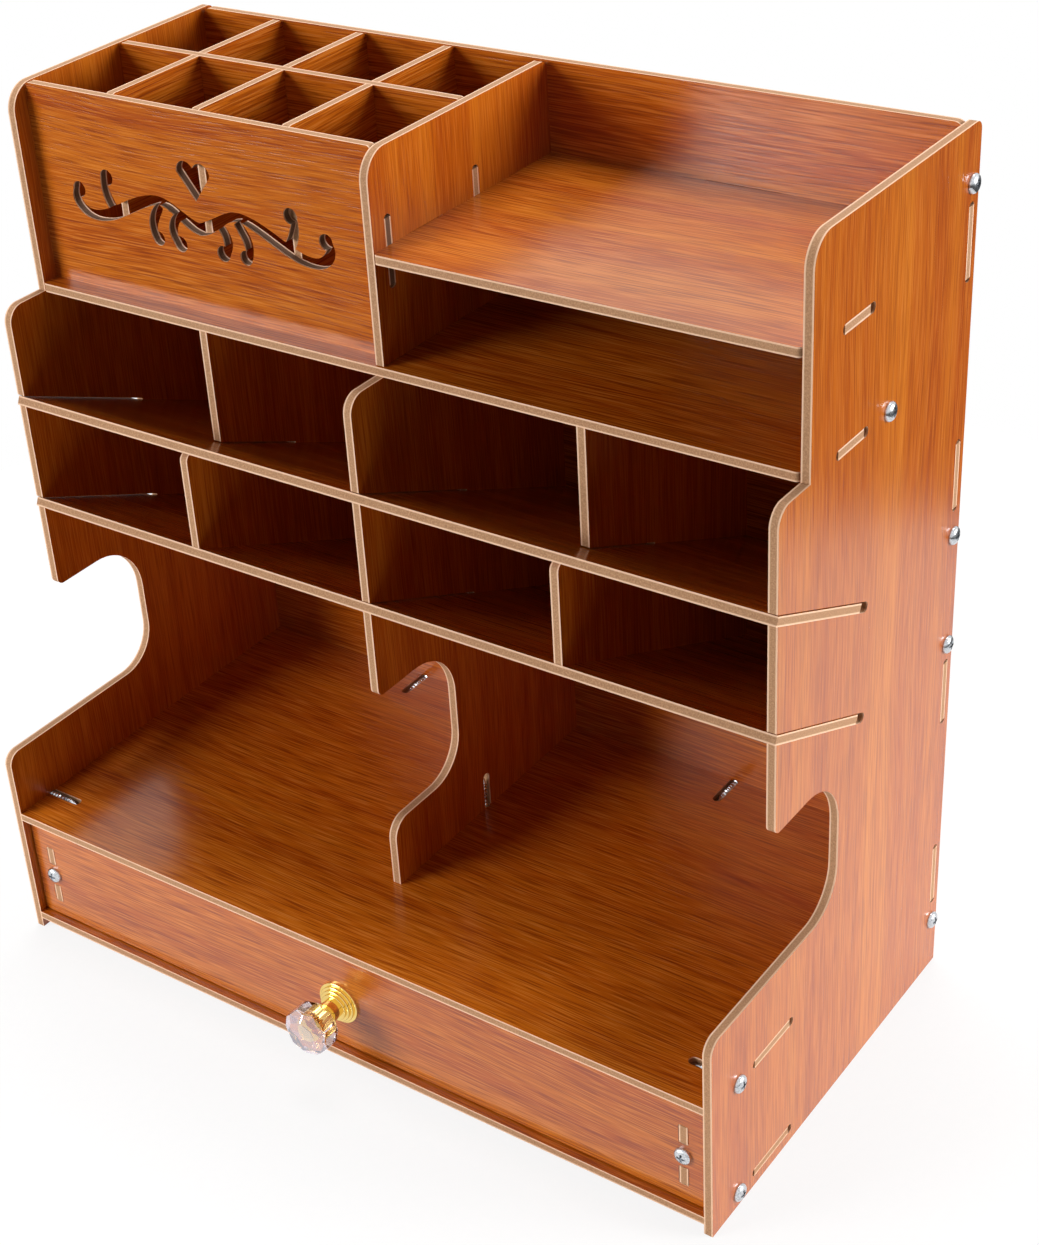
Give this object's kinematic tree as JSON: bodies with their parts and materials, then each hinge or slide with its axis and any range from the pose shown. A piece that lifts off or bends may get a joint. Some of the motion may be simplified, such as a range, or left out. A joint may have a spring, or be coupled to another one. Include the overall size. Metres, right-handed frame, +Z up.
{
  "type": "desk organizer",
  "caption": "Desk organizer of thin boards with a pen box, top tray, open shelf, sloping compartments, open bays and a pull-out drawer with a crystal knob.",
  "frame": {"origin": "middle of the bounding box at the desk surface", "axes": "+X to the right seen from the front, +Y to the back, +Z up; the drawer opens along -Y"},
  "size_m": [0.2888, 0.1682, 0.3],
  "materials": {
    "laminated_board": "satin wood-print laminate on fibreboard",
    "gold_plating": "polished gold plating",
    "clear_crystal": "clear, faceted",
    "zinc_plated_steel": "bright zinc plating"
  },
  "bodies": {
    "carcass": {"left_side_panel": "laminated_board", "right_side_panel": "laminated_board", "centre_panel": "laminated_board", "back_panel": "laminated_board", "bottom_board": "laminated_board", "deck_board": "laminated_board", "lower_sloping_shelf": "laminated_board", "middle_sloping_shelf": "laminated_board", "upper_long_shelf": "laminated_board", "tray_board": "laminated_board", "row_divider_left": "laminated_board", "row_divider_right": "laminated_board", "pen_box_front": "laminated_board", "pen_box_long_divider": "laminated_board", "pen_box_cross_divider_left": "laminated_board", "pen_box_cross_divider_middle": "laminated_board", "pen_box_cross_divider_right": "laminated_board", "side_screws_left": "zinc_plated_steel", "side_screws_right": "zinc_plated_steel", "back_screws": "zinc_plated_steel", "foot_screw": "zinc_plated_steel"},
    "drawer": {"drawer_front": "laminated_board", "drawer_side_left": "laminated_board", "drawer_side_right": "laminated_board", "drawer_back": "laminated_board", "drawer_bottom": "laminated_board", "knob_flange": "gold_plating", "knob_insert": "gold_plating", "knob_crystal": "clear_crystal", "drawer_screws": "zinc_plated_steel", "knob_screw": "zinc_plated_steel"}
  },
  "joints": [
    {"name": "drawer_slide", "type": "slide", "parent": "carcass", "child": "drawer", "axis": [0, -1, 0], "range_m": [0, 0.11]}
  ]
}
